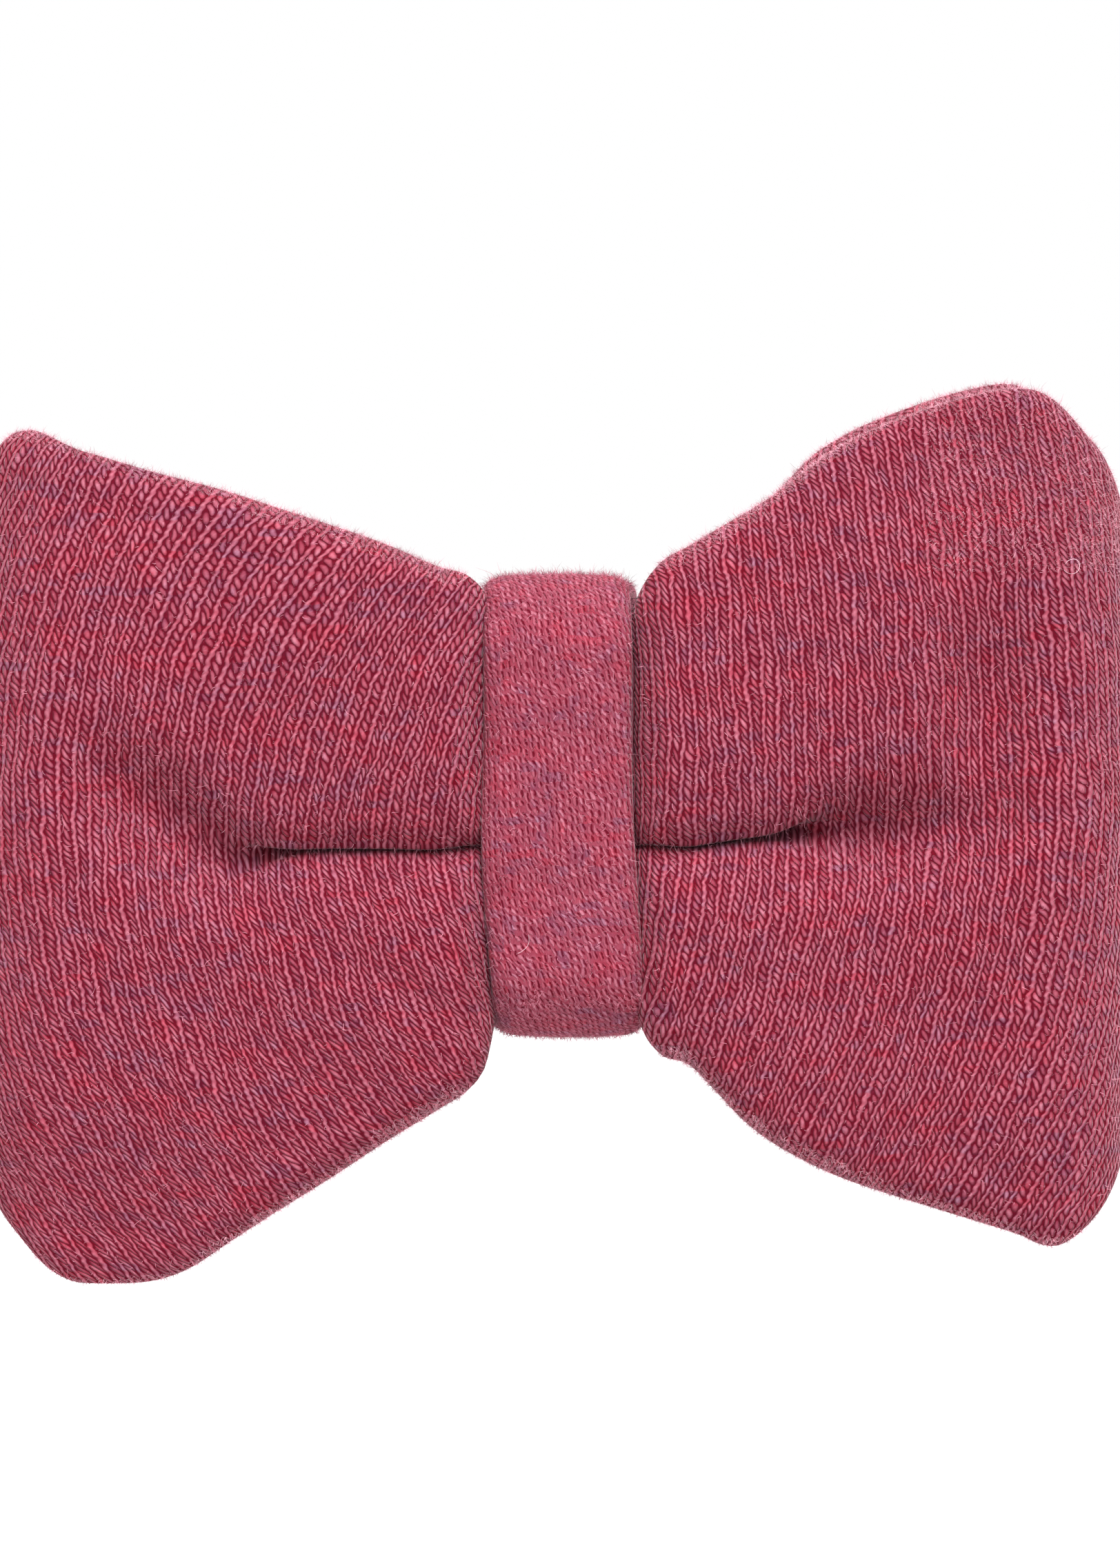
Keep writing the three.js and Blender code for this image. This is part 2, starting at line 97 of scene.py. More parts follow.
# Close places along the strip where it comes out of the knot.
NEAR_KNOT = [0, 2.5, 4.2, 4.6, 4.9, 5.15, 5.4, 5.65, 5.9, 6.15, 6.4, 6.7, 7.0, 7.4, 7.8, 8.3, 8.8, 9.4]

# Height, then the band's left and right edge on the front.
BAND_EDGES = [
    (-17, -4.9, 6.05),
    (-11.5, -5.3, 5.85),
    (-6, -5.75, 5.5),
    (-1, -5.9, 5.2),
    (6, -5.7, 5.1),
    (12, -5.75, 5.1),
    (17, -5.8, 5.0),
]

# Distance from the middle, then the upper and lower edge of the front leaf.
OUTLINE = {
    -1: [
        (0, 13.2, -13.2),
        (4.2, 13.3, -13.3),
        (4.7, 13.5, -14.8),
        (5.2, 14.7, -17.4),
        (5.5, 15.4, -18.7),
        (6.0, 16.1, -19.7),
        (6.8, 16.8, -20.6),
        (8.75, 17.4, -21.9),
        (12.75, 19.1, -24.35),
        (16.75, 20.5, -27.0),
        (20.75, 21.8, -29.5),
        (24.75, 23.1, -32.1),
        (27, 23.7, -33.6),
        (29, 24.2, -34.4),
        (32.75, 25.3, -34.8),
        (36.75, 26.5, -34.4),
        (38.75, 27.2, -33.5),
        (40.75, 27.6, -31.8),
        (42.2, 27.0, -30.2),
        (43.0, 25.0, -28.4),
    ],
    1: [
        (0, 13.2, -13.2),
        (4.6, 13.3, -13.3),
        (5.3, 14.8, -14.8),
        (6.0, 16.3, -16.6),
        (7.0, 17.6, -17.9),
        (9.25, 19.0, -18.8),
        (11.25, 20.2, -20.8),
        (13.25, 21.35, -22.9),
        (15.25, 22.6, -24.45),
        (17.25, 24.1, -25.6),
        (19.25, 25.6, -26.6),
        (21.25, 26.8, -27.4),
        (25.25, 28.5, -28.7),
        (29.25, 29.8, -29.95),
        (33.25, 30.5, -31.2),
        (35.25, 30.3, -31.9),
        (37.25, 29.4, -32.1),
        (39.25, 27.6, -31.2),
        (40.4, 26.4, -30.1),
        (41.3, 24.4, -28.4),
    ],
}

# Distance from the middle, then the pleat's height, depth, sharpness and opening on the front leaf.
PLEAT = {
    -1: [
        (0, -2.9, 2.4, 1, 0.0),
        (5, -2.9, 1.4, 1, 0.0),
        (8, -2.75, 2.6, 1, 0.0),
        (14, -2.6, 4.6, 1, 0.02),
        (19, -2.7, 4.4, 1, 0.12),
        (22.5, -3.1, 3.0, 0.8, 0.2),
        (26, -3.4, 1.9, 0.35, 0.2),
        (29, -3.0, 1.1, 0.05, 0.2),
        (33, -1.5, 0.4, 0, 0),
        (37, 0.0, 0.0, 0, 0),
        (43, 0.0, 0.0, 0, 0),
    ],
    1: [
        (0, -2.9, 2.4, 1, 0.0),
        (5, -2.9, 1.4, 1, 0.0),
        (8, -2.65, 2.4, 1, 0.0),
        (12, -2.05, 4.8, 1, 0.08),
        (16, -1.6, 4.6, 0.95, 0.3),
        (19, -1.3, 3.6, 0.65, 0.45),
        (23, -1.2, 2.6, 0.2, 0.3),
        (27, -0.8, 1.5, 0.0, 0.2),
        (32, 1.0, 0.5, 0, 0),
        (36, 2.0, 0.0, 0, 0),
        (41.3, 2.0, 0.0, 0, 0),
    ],
}

# Soft dents on the front leaf: place, half sizes along and across, turn in degrees, depth.
DENTS = {
    -1: [
        (29.4, -0.4, 6.2, 3.5, 40, 2.9),
        (13.0, 6.5, 9.0, 3.0, 172, 0.35),
        (22.0, -17.0, 11.0, 3.5, 38, 0.45),
        (38.0, -8.0, 9.0, 4.0, 95, 0.5),
        (11.5, -13.5, 6.5, 1.6, 30, 0.4),
        (11.0, 11.5, 6.0, 1.5, 160, 0.3),
        (33.0, -35.0, 15.0, 9.0, 15, 1.7),
        (31.0, 27.0, 15.0, 6.5, 8, 1.2),
    ],
    1: [
        (30.8, 7.6, 8.0, 3.7, 84, 2.9),
        (26.5, -2.0, 6.5, 2.8, 8, 2.3),
        (14.5, 9.0, 8.0, 3.0, 24, 0.4),
        (24.0, -14.0, 9.0, 3.6, 158, 0.4),
        (34.5, -12.0, 8.0, 3.6, 88, 0.5),
        (11.5, -12.0, 5.5, 1.5, 150, 0.35),
        (10.5, 12.5, 5.5, 1.5, 30, 0.3),
        (29.0, 30.5, 14.0, 9.0, 12, 1.9),
        (33.0, -32.0, 12.0, 6.0, -12, 1.2),
    ],
}

# The cloth's colour from painted shade at the bottom of the gaps between stitches up to painted highlights on
# the brushed tops of the yarn.
SHADE_TO_HIGHLIGHT_TONES = [
    (0.00, (0.094, 0.0030, 0.0110)),
    (0.25, (0.150, 0.0120, 0.0275)),
    (0.50, (0.222, 0.0360, 0.0600)),
    (0.75, (0.302, 0.0730, 0.1060)),
    (1.00, (0.405, 0.1380, 0.1850)),
]
RED_TINT, MAUVE_TINT = (1.12, 0.66, 0.72, 1), (0.76, 1.08, 1.18, 1)

# ---- Curves --------------------------------------------------------------------------------------


def spline(rows):
    """A smooth function through rows of (place, value, value ...), flat past both ends."""
    at = np.array([r[0] for r in rows], float)
    values = np.array([r[1:] for r in rows], float)
    slopes = np.gradient(values, at, axis=0)

    def evaluate(x):
        x = np.clip(x, at[0], at[-1])
        i = int(np.clip(np.searchsorted(at, x) - 1, 0, len(at) - 2))
        span = at[i + 1] - at[i]
        t = (x - at[i]) / span
        return (
            (2 * t**3 - 3 * t**2 + 1) * values[i]
            + (t**3 - 2 * t**2 + t) * span * slopes[i]
            + (3 * t**2 - 2 * t**3) * values[i + 1]
            + (t**3 - t**2) * span * slopes[i + 1]
        )

    return evaluate


def ramp(x, low, high):
    """Rises smoothly from 0 at low to 1 at high."""
    t = np.clip((x - low) / (high - low), 0, 1)
    return t * t * (3 - 2 * t)


def arc(centre, radii, start, end, count):
    """Points on an ellipse, angles in degrees, both ends included."""
    a = np.radians(np.linspace(start, end, count))
    return np.stack([centre[0] + radii[0] * np.cos(a), centre[1] + radii[1] * np.sin(a)], 1)


def line(a, b, count):
    """Points from a to b, both ends included."""
    return np.linspace(a, b, count)


def lengths(points):
    """Distance along a line of points."""
    return np.concatenate([[0], np.cumsum(np.linalg.norm(np.diff(points, axis=0), axis=1))])


def unit(v):
    return v / np.maximum(np.linalg.norm(v, axis=1, keepdims=True), 1e-12)


# ---- Meshes --------------------------------------------------------------------------------------


def show(name, mesh, material):
    """Puts a smooth mesh with its material in the scene."""
    mesh.polygons.foreach_set("use_smooth", np.ones(len(mesh.polygons), bool))
    mesh.materials.append(material)
    mesh.update()
    made = bpy.data.objects.new(name, mesh)
    bpy.context.scene.collection.objects.link(made)
    return made


def grid_object(name, rings, uvs, seam, seam_uvs, material):
    """A closed mesh from rings with as many points each, and its knit places as a UV map.

    A face that reaches the point numbered seam from the point before it reads that point's place from
    seam_uvs."""
    count = len(rings[0])
    uvs, far = np.array(uvs), np.array(uvs)
    far[:, seam] = seam_uvs
    faces, places = [], []
    for r in range(len(rings) - 1):
        a, b = r * count, (r + 1) * count
        for i in range(count):
            j = (i + 1) % count
            end = far if j == seam else uvs
            faces.append((a + i, a + j, b + j, b + i))
            places += [uvs[r, i], end[r, j], end[r + 1, j], uvs[r + 1, i]]
    first, last = list(range(count))[::-1], list(range(count))
    faces += [first, [(len(rings) - 1) * count + i for i in last]]
    places += list(uvs[0][first]) + list(uvs[-1][last])
    mesh = bpy.data.meshes.new(name)
    mesh.from_pydata((np.concatenate(rings) * MM).tolist(), [], faces)
    layer = mesh.uv_layers.new(name="knit")
    layer.data.foreach_set("uv", np.array(places, np.float32).ravel())
    return show(name, mesh, material)


def tube(name, points, radius, sides, material):
    """A round wire or thread along points in millimetres, with its length and turn as a UV map."""
    points = np.array(points, float)
    along = unit(np.gradient(points, axis=0))
    across = np.cross(along[0], (0, 0, 1) if abs(along[0][2]) < 0.9 else (1, 0, 0))
    rings = []
    for point, forward in zip(points, along):
        across = across - forward * np.dot(across, forward)
        across /= np.linalg.norm(across)
        up = np.cross(forward, across)
        turn = np.radians(np.arange(sides) * 360 / sides)[:, None]
        rings.append(point + radius * (np.cos(turn) * across + np.sin(turn) * up))
    s = lengths(points)
    share = np.arange(sides) / sides
    uvs = [np.stack([share, np.full(sides, run)], 1) for run in s]
    return grid_object(name, rings, uvs, 0, [(1.0, run) for run in s], material)


# ---- Materials -----------------------------------------------------------------------------------


class Nodes:
    """A material's node tree, written as sums."""

    def __init__(self, name):
        self.material = bpy.data.materials.new(name)
        self.material.use_nodes = True
        self.tree = self.material.node_tree
        self.tree.nodes.clear()
        self.output = self.tree.nodes.new("ShaderNodeOutputMaterial")

    def node(self, kind, inputs=(), **settings):
        made = self.tree.nodes.new("ShaderNode" + kind)
        for key, value in settings.items():
            setattr(made, key, value)
        pairs = inputs.items() if isinstance(inputs, dict) else enumerate(inputs)
        for key, value in pairs:
            if isinstance(value, bpy.types.NodeSocket):
                self.tree.links.new(value, made.inputs[key])
            elif value is not None:
                made.inputs[key].default_value = value
        return made

    def math(self, operation, *values, clamp=False):
        return self.node("Math", values, operation=operation, use_clamp=clamp).outputs[0]

    def add(self, a, b):
        return self.math("ADD", a, b)

    def mul(self, a, b):
        return self.math("MULTIPLY", a, b)

    def centred(self, value):
        return self.math("ADD", value, -0.5)

    def mix(self, share, a, b, blend="MIX"):
        made = self.node("Mix", {0: share, 6: a, 7: b}, data_type="RGBA", blend_type=blend)
        return made.outputs[2]

    def step(self, value, low, high, out_low=0.0, out_high=1.0):
        inputs = (value, low, high, out_low, out_high)
        return self.node("MapRange", inputs, interpolation_type="SMOOTHSTEP").outputs[0]

    def noise(self, vector, scale, detail=2.0, roughness=0.5):
        inputs = {"Vector": vector, "Scale": scale, "Detail": detail, "Roughness": roughness}
        return self.node("TexNoise", inputs).outputs[0]

    def vector(self, x, y, z=0.0):
        return self.node("CombineXYZ", (x, y, z)).outputs[0]

    def stretched(self, vector, scales):
        return self.node("VectorMath", {0: vector, 1: scales}, operation="MULTIPLY").outputs[0]

    def place(self):
        """The point's own place on the piece, in metres."""
        return self.node("TexCoord").outputs[3]

    def surface(self, inputs):
        """Ends the tree in a Principled shader and gives the material."""
        shader = self.node("BsdfPrincipled", inputs)
        self.tree.links.new(shader.outputs[0], self.output.inputs[0])
        return self.material


def shade(colour, factor):
    """A colour made darker or lighter, with alpha."""
    return (*[min(1, c * factor) for c in colour], 1)


def colour_ramp(n, value, stops):
    made = n.node("ValToRGB", {0: value})
    colours = made.color_ramp.elements
    while len(colours) < len(stops):
        colours.new(0.5)
    for element, (at, colour) in zip(colours, stops):
        element.position = at
        element.color = (*colour, 1)
    return made.outputs[0]


def melange(n, u, v, course, colour):
    """Tints the cloth with red and mauve fibres, spun unevenly, which show as flecks along a course."""
    broad = n.noise(n.vector(n.mul(u, 0.11), n.mul(v, 0.30), 3.1), 1.0, 3.0, 0.6)
    yarn = n.noise(n.vector(n.mul(u, 0.50), n.mul(course, 0.80), 9.7), 1.0, 3.0, 0.7)
    spun = n.add(n.mul(yarn, 0.65), n.mul(broad, 0.35))
    red = n.mul(n.step(spun, 0.50, 0.64), 0.9)
    mauve = n.mul(n.step(spun, 0.49, 0.36), 0.85)
    tinted = n.mix(red, colour, RED_TINT, "MULTIPLY")
    return n.mix(mauve, tinted, MAUVE_TINT, "MULTIPLY")


def jersey(name, knot=False):
    """Brushed melange jersey. Wales run along v and are one wale of u apart. The left leg of each stitch lies
    as a smooth cord, and the right legs as a column of short slanting strokes. The knot's finer side shows
    only strokes, with painted highlights and painted shade side by side in narrow columns that lean a little.
    Besides its bump, each cord and stroke gets a painted highlight on its crown and painted shade in the gaps
    between."""
    n = Nodes(name)
    place = n.node("UVMap", uv_map="knit").outputs[0]
    split = n.node("SeparateXYZ", (place,))
    u0, v0 = split.outputs[0], split.outputs[1]
    wander = n.centred(n.noise(place, 0.16, 2.0))
    shake = n.centred(n.noise(place, 0.7, 1.0))
    drift = n.centred(n.noise(n.vector(v0, u0, 4.0), 0.5, 1.0))
    u = n.add(u0, n.add(n.mul(wander, 1.2), n.mul(shake, 0.45)))
    v = n.add(v0, n.mul(drift, 0.8))
    fibre = n.noise(n.vector(n.mul(u, 6.5), n.mul(v, 4.0), 0.7), 1.0, 2.0, 0.7)

    def dome(distance):
        return n.math("SQRT", n.math("SUBTRACT", 1.0, n.mul(distance, distance), clamp=True))

    def column_of(across):
        """The column's number, the place across it from 0 to 1, and the column's own lot."""
        column = n.math("FLOOR", across)
        lot = n.node("TexWhiteNoise", {1: column}, noise_dimensions="1D").outputs[0]
        return column, n.math("SUBTRACT", across, column), lot

    def stroke_of(column, along):
        """The place along a stroke from -0.5 to 0.5, and the stroke's own lot."""
        row = n.math("FLOOR", along)
        own = n.node("TexWhiteNoise", {0: n.vector(column, row)}, noise_dimensions="2D").outputs[0]
        return n.centred(n.math("SUBTRACT", along, row)), own

    if knot:
        lean = math.radians(KNOT_LEAN)
        along = n.add(n.mul(u, -math.sin(lean)), n.mul(v, math.cos(lean)))
        across = n.add(n.mul(u, math.cos(lean)), n.mul(v, math.sin(lean)))
        column, f, lot = column_of(n.math("DIVIDE", across, KNOT_WALE))
        row_at = n.add(n.math("DIVIDE", along, KNOT_STROKE), n.mul(lot, 3.0))
        at, own = stroke_of(column, n.add(row_at, n.mul(n.noise(place, 2.2, 1.0), 0.9)))
        slant = n.mul(at, n.add(n.mul(own, 0.5), 0.25))
        # Raised strokes and the grooves beside them, for the bump and for painted light.
        highlit_width = n.add(n.mul(dome(n.mul(at, 2.3)), 0.27), 0.001)
        highlit_off = n.add(n.add(n.add(f, -0.34), slant), n.mul(n.centred(own), 0.2))
        highlit_stroke = dome(n.math("DIVIDE", highlit_off, highlit_width))
        groove_at = n.add(at, n.mul(n.centred(own), 0.3))
        groove_width = n.add(n.mul(dome(n.mul(groove_at, 2.5)), 0.18), 0.001)
        shaded_groove = dome(n.math("DIVIDE", n.add(n.add(f, -0.78), slant), groove_width))
        # Tone: a painted highlight on each raised stroke and painted shade in the grooves between them.
        painted_highlight = n.mul(highlit_stroke, n.add(n.mul(own, 0.30), 0.16))
        tone = n.add(painted_highlight, n.add(n.mul(shaded_groove, -0.46), 0.51))
        height = n.add(highlit_stroke, n.mul(shaded_groove, -0.8))
        course = n.math("FLOOR", n.math("DIVIDE", v, KNOT_COURSE))
        relief = KNOT_RELIEF
    else:
        q = n.math("DIVIDE", v, COURSE)
        column, f, lot = column_of(n.math("DIVIDE", u, WALE))
        pulse = n.math("SINE", n.mul(q, 2 * math.pi))
        cord = dome(n.math("DIVIDE", n.add(n.add(f, -CORD), n.mul(pulse, 0.035)), CORD))
        cord = n.mul(cord, n.add(n.mul(pulse, 0.10), 0.90))
        leg_off = n.add(f, -LEG)
        at, own = stroke_of(column, n.add(n.add(q, n.mul(leg_off, LEG_SLOPE)), lot))
        window = dome(n.math("DIVIDE", n.add(leg_off, n.mul(n.centred(own), 0.10)), LEG_WIDTH))
        half = n.add(n.mul(window, n.add(n.mul(own, 0.06), 0.43)), 0.001)
        leg = n.mul(dome(n.math("DIVIDE", at, half)), n.math("POWER", window, 1.1))
        height = n.math("MAXIMUM", n.mul(cord, 0.9), leg)
        # The crowns of the cord and of the strokes carry painted highlights, and the tone falls to painted
        # shade in the gaps between them.
        painted_highlight = n.mul(leg, n.add(n.mul(own, 0.36), 0.60))
        tone = n.math("MAXIMUM", n.mul(cord, 0.90), painted_highlight)
        course = n.math("FLOOR", q)
        relief = RELIEF

    haze = n.centred(n.noise(place, 0.8, 4.0, 0.7))
    tone = n.add(tone, n.mul(n.centred(fibre), 0.45))
    tone = n.add(tone, n.mul(haze, 0.42))
    bumpy = n.add(height, n.mul(fibre, 0.25))
    bump = n.node("Bump", {"Strength": 1.0, "Distance": relief * MM, "Height": bumpy})
    return n.surface({
        "Base Color": melange(n, u, v, course, colour_ramp(n, tone, SHADE_TO_HIGHLIGHT_TONES)),
        "Roughness": 0.95,
        "Specular IOR Level": 0.05,
        "Sheen Weight": 0.32,
        "Sheen Roughness": 0.22,
        "Sheen Tint": (1.0, 0.70, 0.76, 1),
        "Normal": bump.outputs[0],
    })


def fibre_material(name, colour):
    n = Nodes(name)
    tint = n.noise(n.place(), 900.0, 1.0)
    mixed = n.mix(n.step(tint, 0.35, 0.65), shade(colour, 0.7), shade(colour, 1.35))
    return n.surface({"Base Color": mixed, "Roughness": 0.8, "Specular IOR Level": 0.2})


def thread_material(name, colour):
    """A two-ply sewing thread: a slanting groove winds round it, with painted shade in the groove and painted
    highlights on the plies' crowns.
    """
    n = Nodes(name)
    split = n.node("SeparateXYZ", (n.node("UVMap", uv_map="knit").outputs[0],))
    twist = n.add(split.outputs[0], n.mul(split.outputs[1], 1.1))
    ply = n.math("SINE", n.mul(twist, 4 * math.pi))
    grain = n.noise(n.place(), 9000.0, 2.0)
    # Colour darkens in the groove and lightens on the plies' crowns, as painted shade and highlight, mixed
    # with random grain.
    share = n.add(n.mul(n.add(ply, 1.0), 0.3), n.mul(grain, 0.5))
    bump = n.node("Bump", {"Strength": 1.0, "Distance": 0.04 * MM, "Height": n.add(ply, grain)})
    return n.surface({
        "Base Color": n.mix(share, shade(colour, 0.45), shade(colour, 1.25)),
        "Roughness": 0.6,
        "Specular IOR Level": 0.3,
        "Normal": bump.outputs[0],
    })


def steel(name, colour, low, high, along):
    """Plated steel with fine rolling marks along one axis, faint stains and soft handling scratches."""
    n = Nodes(name)
    place = n.place()
    scales = [9000.0, 9000.0, 9000.0]
    scales[along] = 350.0
    streak = n.noise(n.stretched(place, scales), 1.0, 3.0, 0.6)
    stain = n.noise(place, 420.0, 4.0, 0.6)
    marks = n.step(n.noise(n.stretched(place, (700.0, 5200.0, 2400.0)), 1.0, 2.0), 0.66, 0.72)
    worn = n.add(n.mul(streak, 0.5), n.mul(stain, 0.5))
    tint = n.mix(n.step(worn, 0.35, 0.65), shade(colour, 0.78), shade(colour, 1))
    height = n.add(streak, n.mul(marks, -0.6))
    bump = n.node("Bump", {"Strength": 0.6, "Distance": 0.012 * MM, "Height": height})
    return n.surface({
        "Base Color": n.mix(n.mul(marks, 0.35), tint, shade(colour, 1.25)),
        "Metallic": 1.0,
        "Roughness": n.add(n.step(worn, 0.3, 0.7, low, high), n.mul(marks, 0.08)),
        "Normal": bump.outputs[0],
    })


def plain_material(name, colour, roughness=0.9):
    inputs = {"Base Color": (*colour, 1), "Roughness": roughness, "Specular IOR Level": 0.1}
    return Nodes(name).surface(inputs)


# ---- Padded strip of the bow ---------------------------------------------------------------------

# Points along the parts of a section: pleat wall, rolled lip, face, half a folded edge, inner face.
GROOVE, LIP, FACE, FOLD, INNER = 6, 8, 26, 9, 40

front_face = spline(FRONT_FACE)
thickness = spline(THICKNESS)
outline = {side: spline(rows) for side, rows in OUTLINE.items()}
pleat = {side: spline(rows) for side, rows in PLEAT.items()}


def fold_height(thick):
    return min(FOLD_HEIGHT, thick * 0.75)


def lobe(side, x, z, crease, top, bottom):
    """How far the front leaf swells out at a distance x from the middle and heights z: one lobe above and one
    below the pleat near the knot, and a single one towards the wing's end."""
    high = np.clip((z - crease) / (top - crease), 0, 1)
    low = np.clip((crease - z) / (crease - bottom), 0, 1)
    near = 1 - ramp(x, 8, 30)
    pair = (1.0 + 0.8 * near) * np.sin(np.pi * np.where(z > crease, high, low) ** 0.8)
    single = 1.6 * np.sin(np.pi * np.clip((z - bottom) / (top - bottom), 0, 1))
    swell = (pair + (single - pair) * ramp(x, 21, 31)) * ramp(x, 5.2, 8)
    for cx, cz, along, across, turn, depth in DENTS[side]:
        c, s = math.cos(math.radians(turn)), math.sin(math.radians(turn))
        p, q = (x - cx) * c + (z - cz) * s, (z - cz) * c - (x - cx) * s
        swell = swell - depth * np.exp(-((p / along) ** 2) - (q / across) ** 2)
    return swell


def front_section(side, x, top, bottom, fade):
    """The front leaf's outer face from the pleat's floor up to the top fold, and the same downwards, as rows
    of (height, outward). The upper lip rolls tightly over the lower one, which is rounder."""
    crease, depth, sharp, opening = pleat[side](x)
    sharp, opening = np.clip(sharp, 0, 1), max(opening, 0)
    depth = max(depth, 0) * fade
    round_z = fold_height(thickness(x)[0])
    lap = 0.5 * ramp(x, 6, 10)
    width = 3.2 + 1.5 * ramp(x, 20, 32)
    halves = []
    for sign, end, share, roll_z, roll_out in (
        (1, top - round_z, 0.35, 2.2, 1.7),
        (-1, bottom + round_z, -0.65, 5.0, 2.2),
    ):
        edge = crease - lap + (0.06 + opening) * share
        roll_out = min(roll_out, depth)
        wall = line((crease + 0.2, -depth), (edge, -roll_out), GROOVE + 1)
        roll = arc((edge + sign * roll_z, -roll_out), (roll_z, roll_out), 90 + 90 * sign, 90, LIP + 1)
        face = line((edge + sign * roll_z, 0), (end, 0), FACE + 1)
        folded = np.concatenate([wall, roll[1:], face[1:]])
        heights = np.linspace(crease, end, len(folded))
        dip = np.exp(-(((heights - crease) / width) ** 2))
        valley = np.stack([heights, -0.75 * depth * dip], 1)
        half = folded * sharp + valley * (1 - sharp)
        half[:, 1] += lobe(side, x, half[:, 0], crease, top, bottom) * fade
        halves.append(half)
    return halves


def strip_section(side, x, top, bottom, fade):
    """A closed section through the strip as rows of (height, outward), with outward 0 on the leaf's outer
    face, its course places, and the course place and number of the seam.

    It starts on the pleat's floor and runs up the outer face, over the top fold, down the inner face, round
    the bottom fold and up the outer face again."""
    thick = thickness(x)[0]
    round_z = fold_height(thick)
    up, down = front_section(side, x, top, bottom, fade)
    crease, depth = pleat[side](x)[:2]

    def fold(end, edge):
        outer = arc((end[0], -thick / 2), (edge - end[0], end[1] + thick / 2), 90, 0, FOLD + 1)
        inner = arc((end[0], -thick / 2), (edge - end[0], thick / 2), 0, -90, FOLD + 1)
        return np.concatenate([outer[1:], inner[1:]])

    upper = np.concatenate([up, fold(up[-1], top)])
    lower = np.concatenate([down, fold(down[-1], bottom)])
    z = np.linspace(top - round_z, bottom + round_z, INNER + 2)[1:-1]
    bulge = max(depth, 0) * fade * np.exp(-(((z - crease) / 4.2) ** 2))
    inner = np.stack([z, -thick - bulge * (0.9 - 0.4 * ramp(x, 20, 30))], 1)

    # Courses are counted from the lips' heights, and those of both halves meet on the pleat's walls.
    s_up, s_down = lengths(upper), lengths(lower)
    lip = GROOVE + LIP
    v_up = up[lip, 0] + s_up - s_up[lip]
    v_down = down[lip, 0] - s_down + s_down[lip]
    meet = 0.5 * (v_up[0] + v_down[0])
    share = 1 - ramp(np.arange(len(v_up)), 0, GROOVE + LIP // 2)
    v_up = v_up + (meet - v_up[0]) * share
    v_down = v_down + (meet - v_down[0]) * share
    v_inner = v_up[-1] + lengths(np.concatenate([upper[-1:], inner, lower[-1:]]))[1:]
    points = np.concatenate([upper, inner, lower[::-1][:-1]])
    courses = np.concatenate([v_up, v_inner[:-1], v_down[::-1][:-1]])
    return points, courses, v_inner[-1], len(upper) + len(inner)


def stations(side):
    """Places along one wing, from the middle of the front round the loop's end to the middle of the back.

    Each is the leaf's outer point and outward direction seen from above, the distance from the middle, the
    top and bottom there, and how far round the back it lies, from 0 to 1."""
    bend = REACH[side] - LOOP_RADIUS - LEAF / 2
    straight = NEAR_KNOT + list(np.linspace(10, bend, int((bend - 10) / 0.7)))
    rows = [(x, 0.0, x) for x in straight]
    for angle in np.linspace(0, math.pi, 34)[1:-1]:
        reach = bend + (LOOP_RADIUS + LEAF / 2) * math.sin(angle)
        rows.append((reach, angle, bend + LOOP_RADIUS * math.sin(angle)))
    rows += [(x, math.pi, x) for x in straight[::-1]]
    back_y = STRIP_BACK + 0.2
    front_y = front_face(bend)[0]
    mid_y, radius_y = (front_y + back_y) / 2, (front_y - back_y - LEAF) / 2
    made = []
    for reach, angle, x in rows:
        behind = (1 - math.cos(angle)) / 2
        out = Vector((math.sin(angle), math.cos(angle)))
        if angle == 0:
            outer = Vector((x, front_face(x)[0]))
        elif angle == math.pi:
            outer = Vector((x, back_y - 0.25 * (1 - ramp(x, 5, 9))))
        else:
            outer = Vector((x, mid_y + radius_y * math.cos(angle))) + out * thickness(reach)[0] / 2
        top, bottom = outline[side](reach)
        if side > 0:
            top += behind * (0.85 * ramp(x, 15, 19) * (1 - ramp(x, 33, 37)) + 0.1)
        else:
            top -= behind * 0.5
        bottom += behind * 0.8
        made.append((outer, out, reach, top, bottom, behind))
    return made


def bow_mesh():
    """The strip's rings from the back's middle round the right wing, across the front and round the left."""
    rings, uvs, seam_uvs = [], [], []
    for side in (1, -1):
        wing, run, last = [], 0.0, None
        for outer, out, reach, top, bottom, behind in stations(side):
            if last is not None:
                run += (outer - last).length
            last = outer
            fade = (1 - behind) ** 1.5
            section, courses, seam_v, seam = strip_section(side, reach, top, bottom, fade)
            height, outward = section.T
            ring = [side * (outer.x + outward * out.x), -(outer.y + outward * out.y), height]
            # Wales bow away from the knot at the top and bottom, and above the left pleat they lean.
            sag = 0.0105 * (1 - 0.35 * ramp(run, 25, 60)) * (1 - ramp(run, 62, 75))
            lean = 0.0
            if side > 0:
                sag = sag * (1 - 0.7 * ramp(height, -4, 4))
            else:
                sag = sag + 0.004 * (1 - ramp(run, 8, 24))
                lean = 0.2 * (1 - ramp(run, 16, 34)) * (1 - ramp(-height, 0, 10))
            wale_at = side * (run + sag * height**2 + lean * height)
            places = np.stack([wale_at, courses], 1)
            wing.append((np.stack(ring, 1), places, (wale_at[seam], seam_v)))
        wing = wing[::-1] if side > 0 else wing[1:]
        for ring, places, seam_place in wing:
            rings.append(ring)
            uvs.append(places)
            seam_uvs.append(seam_place)
    return rings, uvs, seam, seam_uvs


bow = grid_object("bow_wings", *bow_mesh(), jersey("melange_jersey"))
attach(bow, "bow")
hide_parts("bow_cover", "bow_wadding", "bow_seam_thread", "gather_thread")

# ---- Knot band -----------------------------------------------------------------------------------

BAND_POINTS = 27  # across the band's outer or inner face
band_edge = spline(BAND_EDGES)


